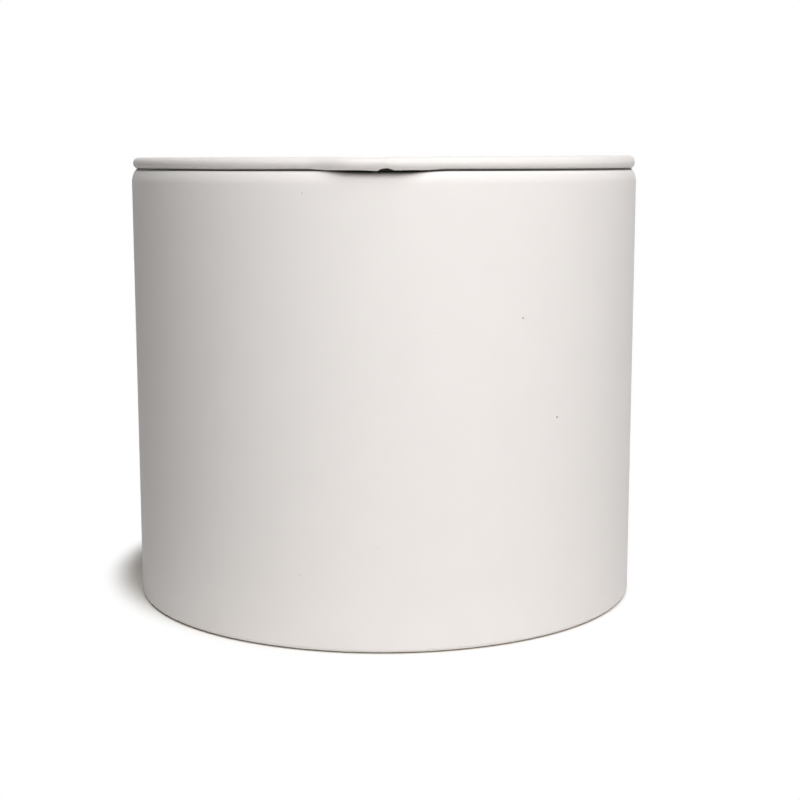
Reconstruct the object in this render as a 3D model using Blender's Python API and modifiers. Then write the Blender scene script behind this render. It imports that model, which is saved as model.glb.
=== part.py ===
"""Round box of coated sheet steel with a lift-off plug lid, one object for each piece.

Metres, +Z up. The origin is on the table under the middle of the box, and the thumb lip
of the lid faces -Y. Every round piece is drawn as a section, with r the distance from
the middle line and z the height, and then turned about Z.
"""
import math

import bmesh
import bpy
from mathutils import Matrix, Vector

# Shared sizes
SHEET = 0.0008                  # steel sheet with its coat
TOUCH_GAP = 0.0003              # between pieces that touch each other
ROUND_STEPS = 60                # facets round every turned piece
MERGE_DISTANCE = 0.00003        # joins a turned section's first and last copy
SHARP_ANGLE = math.radians(40)

# Drum
WALL_RADIUS = 0.0650
WALL_HEIGHT = 0.1098            # from the turned-in foot to the crest of the shoulder
CURL_INNER_RADIUS = 0.0012      # inside the rounded shoulder
CURL_LEG = 0.0045               # how far the curled edge runs down inside the mouth
FOOT_INNER_RADIUS = 0.0003      # inside the bend at the foot
FOOT_HEM_WIDTH = 0.0035         # how far the foot is turned in under the wall

# Ring inside the mouth
MOUTH_RING_DEPTH = 0.0100
MOUTH_RING_BEND = 0.0006        # inside the bend to its flange

# Base plate and pads
BASE_SKIRT = 0.0018             # turned-down rim that stands on the foot
BASE_BEND = 0.0005              # inside the bend to the skirt
BASE_STEP_RADIUS = 0.0400       # edge of the raised middle
BASE_STEP_SLOPE = 0.0015
BASE_RISE = 0.0010
PAD_RADIUS = 0.0045
PAD_STANDOFF = 0.0004           # how far the pads hold the wall off the table
PAD_EDGE = 0.0005               # bevel round a pad
PAD_STEPS = 20
PAD_BEVEL_STEPS = 2
PAD_COUNT = 4
PAD_FIRST_ANGLE = math.radians(45)

# Lid: rolled rim, wire and panel
BEAD_RADIUS = 0.0013
RIM_INSET = 0.00035             # the rim lies this far inside the line of the wall
RIM_GAP = 0.0004                # dark line between the bead and the shoulder
RIM_SHEET = 0.00035
PANEL_GUTTER = 0.0060           # flat channel between the bead and the raised middle
PANEL_SLOPE = 0.0010
PANEL_RISE = 0.0005
WIRE_STEPS = 8

# Thumb lip at the front of the rim, and the relief notch under its butt seam
LIP_OUT = 0.0020                # how far the bead is pushed out
LIP_THICKEN = 0.0002            # how much its radius swells there
LIP_GAP = 0.0007                # dark line between the lip and the shoulder
LIP_GAP_POWER = 3               # the gap opens late, so the crest of the bead stays level
LIP_HALF_ANGLE = math.radians(14)
LIP_FLAT_ANGLE = math.radians(4)
LIP_STEPS = 16                  # finer facets over the lip
NOTCH_WIDTH = 0.0037
NOTCH_HEIGHT = 0.0005
NOTCH_STEPS = 32
CUT_OVERRUN = 0.0010

# Plug and seal
PLUG_CLEARANCE = 0.0004         # between the plug and the ring inside the mouth
PLUG_DEPTH = 0.0094
GROOVE_DEPTH = 0.0020
SEAL_HEIGHT = 0.0030
SEAL_CHAMFER = 0.0005

# Heights and radii that follow from the sizes above
foot_z = PAD_STANDOFF
shoulder_radius = CURL_INNER_RADIUS + SHEET
shoulder_centre_r = WALL_RADIUS - shoulder_radius
shoulder_top_z = foot_z + WALL_HEIGHT
shoulder_centre_z = shoulder_top_z - shoulder_radius
wall_inner_r = WALL_RADIUS - SHEET
curl_bore_r = shoulder_centre_r - shoulder_radius
foot_top_z = foot_z + SHEET

mouth_outer_r = curl_bore_r - TOUCH_GAP
mouth_bore_r = mouth_outer_r - SHEET

base_outer_r = wall_inner_r - TOUCH_GAP
base_skirt_inner_r = base_outer_r - SHEET
base_skirt_z = foot_top_z + TOUCH_GAP
base_under_z = base_skirt_z + BASE_SKIRT
base_top_z = base_under_z + SHEET

rim_centre_r = WALL_RADIUS - RIM_INSET - BEAD_RADIUS


def bead_height(centre_r, radius, gap):
    """Height of the middle of a bead that lies at a gap over the rounded shoulder."""
    reach = shoulder_radius + gap + radius
    return shoulder_centre_z + math.sqrt(reach ** 2 - (centre_r - shoulder_centre_r) ** 2)


rim_centre_z = bead_height(rim_centre_r, BEAD_RADIUS, RIM_GAP)
rim_bore_radius = BEAD_RADIUS - RIM_SHEET
wire_radius = rim_bore_radius - TOUCH_GAP
panel_edge_r = rim_centre_r - wire_radius - TOUCH_GAP
panel_top_z = rim_centre_z + SHEET / 2
panel_under_z = rim_centre_z - SHEET / 2

plug_outer_r = mouth_bore_r - PLUG_CLEARANCE
plug_inner_r = plug_outer_r - SHEET
plug_top_z = panel_under_z - TOUCH_GAP
plug_low_z = plug_top_z - PLUG_DEPTH
bead_reach = BEAD_RADIUS + TOUCH_GAP
seat_r = rim_centre_r - math.sqrt(bead_reach ** 2 - (rim_centre_z - plug_top_z) ** 2)
curl_reach = shoulder_radius + TOUCH_GAP
seat_low_z = shoulder_centre_z + math.sqrt(curl_reach ** 2 - (shoulder_centre_r - seat_r) ** 2)
groove_floor_r = plug_outer_r - GROOVE_DEPTH
groove_half_height = SEAL_HEIGHT / 2 + TOUCH_GAP
seal_centre_z = (plug_top_z - SHEET + plug_low_z) / 2


def arc(centre_r, centre_z, radius, start, end, steps):
    """Points on an arc of a section, with angles in degrees from the outward direction."""
    points = []
    for i in range(steps + 1):
        angle = math.radians(start + (end - start) * i / steps)
        points.append((centre_r + radius * math.cos(angle), centre_z + radius * math.sin(angle)))
    return points


def plain_material(name, color, roughness, metallic=0.0):
    """A plain finish for one piece."""
    material = bpy.data.materials.new(name)
    material.use_nodes = True
    shader = material.node_tree.nodes["Principled BSDF"]
    shader.inputs["Base Color"].default_value = (*color, 1.0)
    shader.inputs["Roughness"].default_value = roughness
    shader.inputs["Metallic"].default_value = metallic
    return material


def outline_mesh(name, outline, closed):
    """The section as a line of edges in the XZ plane, out at +X."""
    bm = bmesh.new()
    verts = [bm.verts.new((r, 0, z)) for r, z in outline]
    for first, second in zip(verts, verts[1:]):
        bm.edges.new((first, second))
    if closed:
        bm.edges.new((verts[-1], verts[0]))
    mesh = bpy.data.meshes.new(name)
    bm.to_mesh(mesh)
    bm.free()
    return mesh


def add_object(name, mesh, material, collection):
    obj = bpy.data.objects.new(name, mesh)
    collection.objects.link(obj)
    if material:
        mesh.materials.append(material)
    return obj


def turned_piece(name, outline, material, collection, closed=True):
    """Turn a section once round Z with a Screw modifier."""
    obj = add_object(name, outline_mesh(name, outline, closed), material, collection)
    screw = obj.modifiers.new("turn", "SCREW")
    screw.axis = "Z"
    screw.angle = math.tau
    screw.steps = screw.render_steps = ROUND_STEPS
    screw.use_merge_vertices = True
    screw.merge_threshold = MERGE_DISTANCE
    screw.use_smooth_shade = True
    return obj


def lip_share(azimuth):
    """How much of the thumb lip there is at an angle from the front, from 0 to 1."""
    reach = (LIP_HALF_ANGLE - abs(azimuth)) / (LIP_HALF_ANGLE - LIP_FLAT_ANGLE)
    reach = min(max(reach, 0.0), 1.0)
    return reach * reach * (3 - 2 * reach)


def push_lip(bm, edge_width=None, thicken=0.0):
    """Push a lid piece out over the front of the shoulder, and down with the bead.

    The piece moves whole, or only its edge does, by more and more over edge_width up to
    the panel's edge. thicken swells a section about the middle of the bead.
    """
    for vert in bm.verts:
        r = math.hypot(vert.co.x, vert.co.y)
        share = lip_share(math.atan2(vert.co.x, -vert.co.y))
        if share == 0 or r == 0:
            continue
        follow = 1.0
        if edge_width:
            follow = min(max((r - panel_edge_r + edge_width) / edge_width, 0.0), 1.0)
        lip_r = rim_centre_r + LIP_OUT * share
        lip_radius = BEAD_RADIUS + LIP_THICKEN * share
        gap = RIM_GAP + (LIP_GAP - RIM_GAP) * share ** LIP_GAP_POWER
        drop = rim_centre_z - bead_height(lip_r, lip_radius, gap)
        swell = thicken * share / BEAD_RADIUS
        new_r = r + (r - rim_centre_r) * swell + LIP_OUT * share * follow
        new_z = vert.co.z + (vert.co.z - rim_centre_z) * swell - drop * follow
        vert.co = Vector((vert.co.x, vert.co.y, 0)) * (new_r / r) + Vector((0, 0, new_z))


def lipped_piece(name, outline, material, collection, closed=True, **lip):
    """Turn a section, with finer facets at the front, and push it out over the thumb lip."""
    drawn = outline_mesh(name, outline, closed)
    bm = bmesh.new()
    bm.from_mesh(drawn)
    bpy.data.meshes.remove(drawn)
    to_lip_start = Matrix.Rotation(-math.pi / 2 - LIP_HALF_ANGLE, 3, "Z")
    bmesh.ops.rotate(bm, verts=bm.verts, cent=(0, 0, 0), matrix=to_lip_start)
    lip_angle = 2 * LIP_HALF_ANGLE
    rest_steps = round(ROUND_STEPS * (math.tau - lip_angle) / math.tau)
    section = bm.verts[:] + bm.edges[:]
    for angle, steps in ((lip_angle, LIP_STEPS), (math.tau - lip_angle, rest_steps)):
        turned = bmesh.ops.spin(bm, geom=section, cent=(0, 0, 0), axis=(0, 0, 1),
                                angle=angle, steps=steps)
        section = turned["geom_last"]
    bmesh.ops.remove_doubles(bm, verts=bm.verts, dist=MERGE_DISTANCE)
    bmesh.ops.recalc_face_normals(bm, faces=bm.faces)
    push_lip(bm, **lip)
    mesh = bpy.data.meshes.new(name)
    bm.to_mesh(mesh)
    bm.free()
    mesh.shade_smooth()
    mesh.set_sharp_from_angle(angle=SHARP_ANGLE)
    return add_object(name, mesh, material, collection)


def build_body_shell(collection, material):
    """The drum's sheet, from the crest of the shoulder down the wall and back up inside."""
    hem_inner_r = WALL_RADIUS - FOOT_HEM_WIDTH
    foot_outer_radius = FOOT_INNER_RADIUS + SHEET
    foot_centre_r = WALL_RADIUS - foot_outer_radius
    foot_centre_z = foot_z + foot_outer_radius
    leg_low_z = shoulder_centre_z - CURL_LEG
    outline = arc(shoulder_centre_r, shoulder_centre_z, shoulder_radius, 180, 0, 8)
    outline += arc(foot_centre_r, foot_centre_z, foot_outer_radius, 0, -90, 3)
    outline += [(hem_inner_r, foot_z), (hem_inner_r, foot_top_z)]
    outline += arc(foot_centre_r, foot_centre_z, FOOT_INNER_RADIUS, -90, 0, 1)
    outline += arc(shoulder_centre_r, shoulder_centre_z, CURL_INNER_RADIUS, 0, 180, 6)
    outline += [(curl_bore_r + SHEET, leg_low_z), (curl_bore_r, leg_low_z)]
    return turned_piece("body_shell", outline, material, collection)


def build_mouth_ring(collection, material):
    """The ring that lines the mouth, with a flange out to the wall at its foot."""
    top_z = shoulder_centre_z
    flange_z = top_z - MOUTH_RING_DEPTH
    bend_r = mouth_outer_r + MOUTH_RING_BEND
    bend_z = flange_z + SHEET + MOUTH_RING_BEND
    flange_r = wall_inner_r - TOUCH_GAP
    outline = [(mouth_bore_r, top_z), (mouth_outer_r, top_z)]
    outline += arc(bend_r, bend_z, MOUTH_RING_BEND, 180, 270, 2)
    outline += [(flange_r, flange_z + SHEET), (flange_r, flange_z)]
    outline += arc(bend_r, bend_z, MOUTH_RING_BEND + SHEET, 270, 180, 3)
    return turned_piece("mouth_ring", outline, material, collection)


def build_base_plate(collection, material):
    """The disc with a raised middle and a turned-down rim that stands on the foot."""
    bend_r = base_skirt_inner_r - BASE_BEND
    bend_z = base_under_z - BASE_BEND
    step_foot_r = BASE_STEP_RADIUS + BASE_STEP_SLOPE
    outline = [(0, base_top_z + BASE_RISE), (BASE_STEP_RADIUS, base_top_z + BASE_RISE),
               (step_foot_r, base_top_z)]
    outline += arc(bend_r, bend_z, BASE_BEND + SHEET, 90, 0, 3)
    outline += [(base_outer_r, base_skirt_z), (base_skirt_inner_r, base_skirt_z)]
    outline += arc(bend_r, bend_z, BASE_BEND, 0, 90, 2)
    outline += [(step_foot_r, base_under_z), (BASE_STEP_RADIUS, base_under_z + BASE_RISE),
                (0, base_under_z + BASE_RISE)]
    return turned_piece("base_plate", outline, material, collection, closed=False)


def build_foot_pads(collection, material):
    """Round pads on the flat ring of the base plate, all from one mesh."""
    pad_top_z = base_under_z - TOUCH_GAP
    step_foot_r = BASE_STEP_RADIUS + BASE_STEP_SLOPE
    circle_r = (step_foot_r + base_skirt_inner_r) / 2
    bm = bmesh.new()
    bmesh.ops.create_cone(bm, cap_ends=True, segments=PAD_STEPS, radius1=PAD_RADIUS,
                          radius2=PAD_RADIUS, depth=pad_top_z)
    rims = [edge for edge in bm.edges if len({vert.co.z > 0 for vert in edge.verts}) == 1]
    bmesh.ops.bevel(bm, geom=rims, offset=PAD_EDGE, offset_type="OFFSET",
                    segments=PAD_BEVEL_STEPS, profile=0.5, affect="EDGES", material=-1)
    mesh = bpy.data.meshes.new("foot_pad")
    bm.to_mesh(mesh)
    bm.free()
    mesh.materials.append(material)
    mesh.shade_smooth()
    mesh.set_sharp_from_angle(angle=SHARP_ANGLE)
    for i in range(PAD_COUNT):
        angle = PAD_FIRST_ANGLE + math.tau * i / PAD_COUNT
        pad = add_object(f"foot_pad_{i + 1}", mesh, None, collection)
        pad.location = (circle_r * math.cos(angle), circle_r * math.sin(angle), pad_top_z / 2)


def build_lid_rim(collection, cutters, material):
    """The rolled strip round the wire, open towards the panel, with its relief notch."""
    slot_angle = math.degrees(math.atan2(SHEET / 2 + 2 * TOUCH_GAP, rim_bore_radius))
    start, end = 180 - slot_angle, slot_angle - 180
    outline = arc(rim_centre_r, rim_centre_z, BEAD_RADIUS, start, end, 12)
    outline += arc(rim_centre_r, rim_centre_z, rim_bore_radius, end, start, 7)
    rim = lipped_piece("lid_rim", outline, material, collection, thicken=LIP_THICKEN)

    lip_r = rim_centre_r + LIP_OUT
    lip_radius = BEAD_RADIUS + LIP_THICKEN
    lip_low_z = bead_height(lip_r, lip_radius, LIP_GAP) - lip_radius
    notch_radius = (NOTCH_WIDTH ** 2 / 4 + NOTCH_HEIGHT ** 2) / (2 * NOTCH_HEIGHT)
    bm = bmesh.new()
    depth = 2 * (lip_radius + CUT_OVERRUN)
    bmesh.ops.create_cone(bm, cap_ends=True, segments=NOTCH_STEPS, radius1=notch_radius,
                          radius2=notch_radius, depth=depth)
    mesh = bpy.data.meshes.new("notch_cutter")
    bm.to_mesh(mesh)
    bm.free()
    cutter = add_object("notch_cutter", mesh, None, cutters)
    cutter.rotation_euler = (math.radians(90), 0, 0)
    cutter.location = (0, -lip_r, lip_low_z + NOTCH_HEIGHT - notch_radius)
    cutter.hide_render = True
    cutter.display_type = "WIRE"
    cut = rim.modifiers.new("notch", "BOOLEAN")
    cut.operation = "DIFFERENCE"
    cut.solver = "EXACT"
    cut.object = cutter
    return rim


def build_rim_wire(collection, material):
    """The wire inside the bead, bent to the same path as the rim."""
    outline = arc(rim_centre_r, rim_centre_z, wire_radius, 180, -180, WIRE_STEPS)[:-1]
    return lipped_piece("rim_wire", outline, material, collection)


def build_lid_panel(collection, material):
    """The lid's disc: a raised middle, a flat channel, and an edge that sits in the bead."""
    edge_width = PANEL_GUTTER / 2
    gutter_r = panel_edge_r - PANEL_GUTTER
    fade_r = panel_edge_r - edge_width
    middle_r = gutter_r - PANEL_SLOPE
    outline = [(0, panel_top_z + PANEL_RISE), (middle_r, panel_top_z + PANEL_RISE),
               (gutter_r, panel_top_z), (fade_r, panel_top_z), (panel_edge_r, panel_top_z),
               (panel_edge_r, panel_under_z), (fade_r, panel_under_z), (gutter_r, panel_under_z),
               (middle_r, panel_under_z + PANEL_RISE), (0, panel_under_z + PANEL_RISE)]
    return lipped_piece("lid_panel", outline, material, collection, closed=False,
                        edge_width=edge_width)


def build_plug_collar(collection, material):
    """The ring under the lid: a flange welded to the panel, and a groove for the seal.

    The flange runs out close to the bead and down to the curl of the drum, where it carries
    the lid and keeps the bead off the shoulder.
    """
    groove_top_z = seal_centre_z + groove_half_height
    groove_low_z = seal_centre_z - groove_half_height
    inner_groove_r = groove_floor_r - SHEET
    flange_under_z = plug_top_z - SHEET
    outline = [(plug_inner_r, plug_top_z), (seat_r, plug_top_z), (seat_r, seat_low_z),
               (seat_r - SHEET, seat_low_z), (seat_r - SHEET, flange_under_z),
               (plug_outer_r, flange_under_z), (plug_outer_r, groove_top_z),
               (groove_floor_r, groove_top_z), (groove_floor_r, groove_low_z),
               (plug_outer_r, groove_low_z), (plug_outer_r, plug_low_z),
               (plug_inner_r, plug_low_z), (plug_inner_r, groove_low_z - SHEET),
               (inner_groove_r, groove_low_z - SHEET), (inner_groove_r, groove_top_z + SHEET),
               (plug_inner_r, groove_top_z + SHEET)]
    return turned_piece("plug_collar", outline, material, collection)


def build_seal_ring(collection, material):
    """The soft ring in the groove, with its corners eased where it enters the mouth."""
    inner_r = groove_floor_r + TOUCH_GAP
    outer_r = mouth_bore_r - TOUCH_GAP
    top_z = seal_centre_z + SEAL_HEIGHT / 2
    low_z = seal_centre_z - SEAL_HEIGHT / 2
    outline = [(inner_r, top_z), (outer_r - SEAL_CHAMFER, top_z), (outer_r, top_z - SEAL_CHAMFER),
               (outer_r, low_z + SEAL_CHAMFER), (outer_r - SEAL_CHAMFER, low_z), (inner_r, low_z)]
    return turned_piece("seal_ring", outline, material, collection)


def main():
    for obj in list(bpy.data.objects):
        bpy.data.objects.remove(obj, do_unlink=True)
    parts = bpy.data.collections.new("round_box")
    cutters = bpy.data.collections.new("round_box_cutters")
    for collection in (parts, cutters):
        bpy.context.scene.collection.children.link(collection)

    coat = plain_material("warm_white_coat", (0.82, 0.80, 0.78), 0.5)
    black_coat = plain_material("black_coat", (0.05, 0.05, 0.05), 0.5)
    wire_steel = plain_material("wire_steel", (0.55, 0.55, 0.56), 0.35, metallic=1.0)
    soft_ring = plain_material("soft_ring", (0.70, 0.69, 0.67), 0.6)
    pad_rubber = plain_material("pad_rubber", (0.16, 0.16, 0.16), 0.8)

    build_body_shell(parts, coat)
    build_mouth_ring(parts, coat)
    build_base_plate(parts, coat)
    build_foot_pads(parts, pad_rubber)
    build_lid_rim(parts, cutters, coat)
    build_rim_wire(parts, wire_steel)
    build_lid_panel(parts, coat)
    build_plug_collar(parts, black_coat)
    build_seal_ring(parts, soft_ring)


main()
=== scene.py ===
# %% [markdown]
# # A round tin with a lift-off lid
#
# The tin is a drum of powder-coated sheet steel. The top edge of its wall is curled inwards
# into a rounded shoulder, and a flat lid with a rolled bead round its rim rests there. The
# model of the tin is already built to its real size, so this file only dresses it: it loads
# that model as a frame, keeps its box, and then makes a finer piece in the place of each one.

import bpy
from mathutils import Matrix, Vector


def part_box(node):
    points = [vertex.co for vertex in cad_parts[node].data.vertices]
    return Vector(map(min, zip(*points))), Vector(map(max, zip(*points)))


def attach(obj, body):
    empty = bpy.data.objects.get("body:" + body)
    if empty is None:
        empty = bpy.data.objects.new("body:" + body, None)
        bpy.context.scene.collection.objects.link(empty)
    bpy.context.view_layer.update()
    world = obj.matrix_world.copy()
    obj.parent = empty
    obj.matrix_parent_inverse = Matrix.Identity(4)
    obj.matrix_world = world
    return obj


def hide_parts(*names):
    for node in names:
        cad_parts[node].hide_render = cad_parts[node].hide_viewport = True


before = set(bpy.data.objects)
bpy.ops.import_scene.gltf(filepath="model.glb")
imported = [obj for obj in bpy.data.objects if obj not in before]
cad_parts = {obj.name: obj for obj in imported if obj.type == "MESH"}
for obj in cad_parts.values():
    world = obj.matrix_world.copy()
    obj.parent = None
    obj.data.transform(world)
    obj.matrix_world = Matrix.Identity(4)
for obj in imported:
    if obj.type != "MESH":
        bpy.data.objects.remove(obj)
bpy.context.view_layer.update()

# %% [markdown]
# bmesh builds meshes point by point, and bpy is the rest of Blender. The lengths on the tin
# are given in millimetres, as on a drawing, and multiplied by MM, because Blender counts in
# metres.

# %% Blender's modules
import math
import random

import bmesh
import bpy
from mathutils import Matrix, Vector, noise

MM = 0.001
print("one unit is a metre, so a millimetre is", MM)

# %% [markdown]
# ## The sizes that everything follows
#
# A turned piece is drawn as a section: r is the distance from the middle line of the tin and
# z the height above the table. The outer sizes are read from the frame, so they can't drift
# away from it. The thickness of the sheet and the bends are a few more values, named here.

# %% Sizes from the frame
drum_low, drum_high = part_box("body_shell")
rim_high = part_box("lid_rim")[1]
panel_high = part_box("lid_panel")[1]
plug_low, plug_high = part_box("plug_collar")
seal_low, seal_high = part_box("seal_ring")
liner_low, liner_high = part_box("mouth_ring")
base_low, base_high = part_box("base_plate")

SHEET = 0.8 * MM
EASED = 0.2 * MM
SHOULDER_RADIUS = 2.0 * MM
BEAD_RADIUS = 1.41 * MM
TOUCH_GAP = 0.3 * MM

wall_r = drum_high.x
foot_z = drum_low.z
shoulder_r = wall_r - SHOULDER_RADIUS
shoulder_z = drum_high.z - SHOULDER_RADIUS
bead_r = rim_high.x - BEAD_RADIUS
bead_z = rim_high.z - BEAD_RADIUS
print(f"wall {wall_r / MM:.1f} mm, shoulder {shoulder_z / MM:.1f} mm, bead {bead_z / MM:.2f} mm up")

# %% [markdown]
# ## The camera
#
# The photograph was taken by hand from about 0.4 m, a little below the top of the lid, with
# the camera tipped down. Near objects seen through a short lens narrow towards the foot,
# because the foot is further from the lens, so the place and tip of the camera matter more
# here than its distance. A matrix written as move, tip and roll keeps each of them apart.

# %% Camera
CAMERA_PLACE = Vector((4.03, -404.77, 112.31)) * MM
CAMERA_TIP = math.radians(8.861)
CAMERA_ROLL = math.radians(-0.053)
LENS = 69.016
SENSOR = 36.0
CLIP_START = 10 * MM

lens = bpy.data.cameras.new("photo_camera")
lens.lens = LENS
lens.sensor_width = SENSOR
lens.clip_start = CLIP_START
camera = bpy.data.objects.new("photo_camera", lens)
bpy.context.scene.collection.objects.link(camera)
tipped = Matrix.Rotation(math.pi / 2 - CAMERA_TIP, 4, "X") @ Matrix.Rotation(CAMERA_ROLL, 4, "Z")
camera.matrix_world = Matrix.Translation(CAMERA_PLACE) @ tipped
bpy.context.scene.camera = camera
print("camera at", [round(value / MM) for value in CAMERA_PLACE], "mm")

# %% [markdown]
# ## Plain light
#
# A matt white surface shows nothing but the light that falls on it, so the lamps draw the
# tin. A large soft lamp stands high to the right of the camera: it lights the bead and the
# shoulder, and makes the wall fall off slowly to the left. A weaker one over the camera fills
# the front, and a very weak one low on the right keeps that edge of the wall from going dark.
# Each row gives a lamp's name, its degrees round from the front and up from the table, the
# length of its side in metres, its watts and its colour. All of them face the middle of the
# tin from the same distance.

# %% Lamps
AIM = Vector((0, 0, 60)) * MM
LAMP_DISTANCE = 0.9
LAMPS = [("high_lamp", 20, 51, 0.75, 7.95, (1.0, 0.995, 1.0)),
         ("front_lamp", 0, 40, 0.6, 1.5, (1.0, 1.0, 1.0)),
         ("side_lamp", 110, 15, 0.5, 0.1, (1.0, 0.99, 0.98))]

for name, degrees_round, degrees_up, size, watts, color in LAMPS:
    light = bpy.data.lights.new(name, "AREA")
    light.size = size
    light.energy = watts
    light.color = color
    azimuth = math.radians(degrees_round)
    elevation = math.radians(degrees_up)
    level = math.cos(elevation)
    out = Vector((math.sin(azimuth) * level, -math.cos(azimuth) * level, math.sin(elevation)))
    lamp = bpy.data.objects.new(name, light)
    lamp.location = AIM + out * LAMP_DISTANCE
    lamp.rotation_euler = out.to_track_quat("Z", "Y").to_euler()
    bpy.context.scene.collection.objects.link(lamp)
print("lamps:", len(LAMPS))

# %% [markdown]
# ## Tools for shading
#
# A look is a chain of nodes, in which each one hands a number or a colour to the next. A few
# short functions make the steps that come back most. soft_step turns a value into a mask with
# a soft edge, and between turns a mask into a number between two ends.

# %% Sums and masks
NUMBERS = "ShaderNodeMath"
VECTORS = "ShaderNodeVectorMath"


def set_inputs(node, **values):
    """Set inputs of a node to plain values. A _ in a name stands for a space."""
    for label, value in values.items():
        node.inputs[label.replace("_", " ")].default_value = value
    return node


def sum_node(tree, kind, operation, *values):
    """A sum of NUMBERS or VECTORS. Each value is plain, or the output of another node."""
    node = tree.nodes.new(kind)
    node.operation = operation
    for socket, value in zip(node.inputs, values):
        if isinstance(value, bpy.types.NodeSocket):
            tree.links.new(value, socket)
        else:
            socket.default_value = value
    return node


def any_of(tree, *masks):
    """The largest of several masks."""
    found = masks[0]
    for mask in masks[1:]:
        found = sum_node(tree, NUMBERS, "MAXIMUM", found, mask).outputs[0]
    return found


def soft_step(tree, value, ends):
    """A mask that goes smoothly from 0 to 1 as a value goes from one end to the other."""
    step = set_inputs(tree.nodes.new("ShaderNodeMapRange"), From_Min=ends[0], From_Max=ends[1])
    step.interpolation_type = "SMOOTHSTEP"
    tree.links.new(value, step.inputs["Value"])
    return step.outputs[0]


def between(tree, mask, ends):
    """A number that goes from one end to the other as a mask goes from 0 to 1."""
    line = set_inputs(tree.nodes.new("ShaderNodeMapRange"), To_Min=ends[0], To_Max=ends[1])
    tree.links.new(mask, line.inputs["Value"])
    return line.outputs[0]


def scaled(tree, color, factor):
    """A plain colour made darker or lighter by a factor from another node."""
    node = tree.nodes.new(VECTORS)
    node.operation = "SCALE"
    node.inputs[0].default_value = color
    tree.links.new(factor, node.inputs["Scale"])
    return node.outputs[0]


print("kinds of sums:", NUMBERS, VECTORS)

# %% [markdown]
# The floor and the world round the tin give two answers: one to the rays that show them to
# the camera, directly or by way of something shiny or clear, and one to the rays that only
# carry light to the tin.

# %% Two answers
SHOWING = ("Is Camera Ray", "Is Glossy Ray", "Is Transmission Ray")


def mix_shaders(tree, share, first, second):
    """One shader that turns into another as a share goes from 0 to 1."""
    mix = tree.nodes.new("ShaderNodeMixShader")
    for value, socket in zip((share, first, second), mix.inputs):
        tree.links.new(value, socket)
    return mix.outputs[0]


def two_answers(tree, carrying, showing, output):
    """One shader for the rays that carry light to the tin, and one for those that show it."""
    path = tree.nodes.new("ShaderNodeLightPath")
    shown = any_of(tree, *[path.outputs[label] for label in SHOWING])
    surface = tree.nodes.new(output).inputs["Surface"]
    tree.links.new(mix_shaders(tree, shown, carrying, showing), surface)


print("rays that show a surface:", SHOWING)

# %% [markdown]
# ## White all round
#
# The background of the photograph is plain white. A surface only looks white where light
# reaches it, so instead of more light the world answers the camera with white, and answers
# the rays that light the tin with a dim warm grey.

# %% World
AMBIENT = 0.01
AMBIENT_COLOR = (1.0, 0.99, 0.95, 1)
PLAIN_WHITE = (1, 1, 1, 1)

bpy.context.scene.view_settings.view_transform = "Standard"
world = bpy.data.worlds.new("white_room")
bpy.context.scene.world = world
world.use_nodes = True
tree = world.node_tree
tree.nodes.clear()
ambient = set_inputs(tree.nodes.new("ShaderNodeBackground"), Color=AMBIENT_COLOR, Strength=AMBIENT)
white = set_inputs(tree.nodes.new("ShaderNodeBackground"), Color=PLAIN_WHITE, Strength=1.0)
two_answers(tree, ambient.outputs[0], white.outputs[0], "ShaderNodeOutputWorld")
print("world: ambient", AMBIENT)

# %% [markdown]
# ## The floor
#
# The floor is a wide disc of matt white. The photograph keeps only a short soft shadow beside
# the foot of the wall on the left, where the lamps don't reach, and a thin dark line where
# the tin stands. Everywhere else it is plain white. So the camera sees a matt floor in two
# zones, under the tin and left of it, which turn into plain white over a soft edge. For the
# rays that light the tin the floor stays matt all over, but its colour is darker on the left:
# that is painted shade, standing in for the table lying in shade there, and it darkens the
# left side of the tin.

# %% Floor
FLOOR_RADIUS = 1.5
FLOOR_SIDES = 96
SHADOW_CENTRE = Vector((11.0, 18.0, 0)) * MM
SHADOW_FADE = (80 * MM, 90 * MM)
SHADOW_SIDE = (-45 * MM, -15 * MM)
CONTACT_FADE = (64.4 * MM, 65.6 * MM)
FLOOR_TONE = (0.90, 0.865, 0.80, 1)
FLOOR_BOUNCE = (0.85, 0.84, 0.82)
SHADED_BOUNCE_SIDE = (-85 * MM, -60 * MM)
SHADED_BOUNCE_SHARE = 0.64

bm = bmesh.new()
bmesh.ops.create_circle(bm, cap_ends=True, segments=FLOOR_SIDES, radius=FLOOR_RADIUS)
bmesh.ops.inset_region(bm, faces=bm.faces[:], thickness=FLOOR_RADIUS / 2, use_even_offset=True)
mesh = bpy.data.meshes.new("floor")
bm.to_mesh(mesh)
bm.free()
floor = bpy.data.objects.new("floor", mesh)
bpy.context.scene.collection.objects.link(floor)

paper = bpy.data.materials.new("white_floor")
paper.use_nodes = True
tree = paper.node_tree
tree.nodes.clear()
place = tree.nodes.new("ShaderNodeTexCoord").outputs["Object"]
split = tree.nodes.new("ShaderNodeSeparateXYZ")
tree.links.new(place, split.inputs[0])
across = split.outputs["X"]


def beyond(tree, place, centre, ends):
    """A mask that is 1 outside a circle on the floor."""
    reach = sum_node(tree, VECTORS, "DISTANCE", place, centre)
    return soft_step(tree, reach.outputs["Value"], ends)


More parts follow.
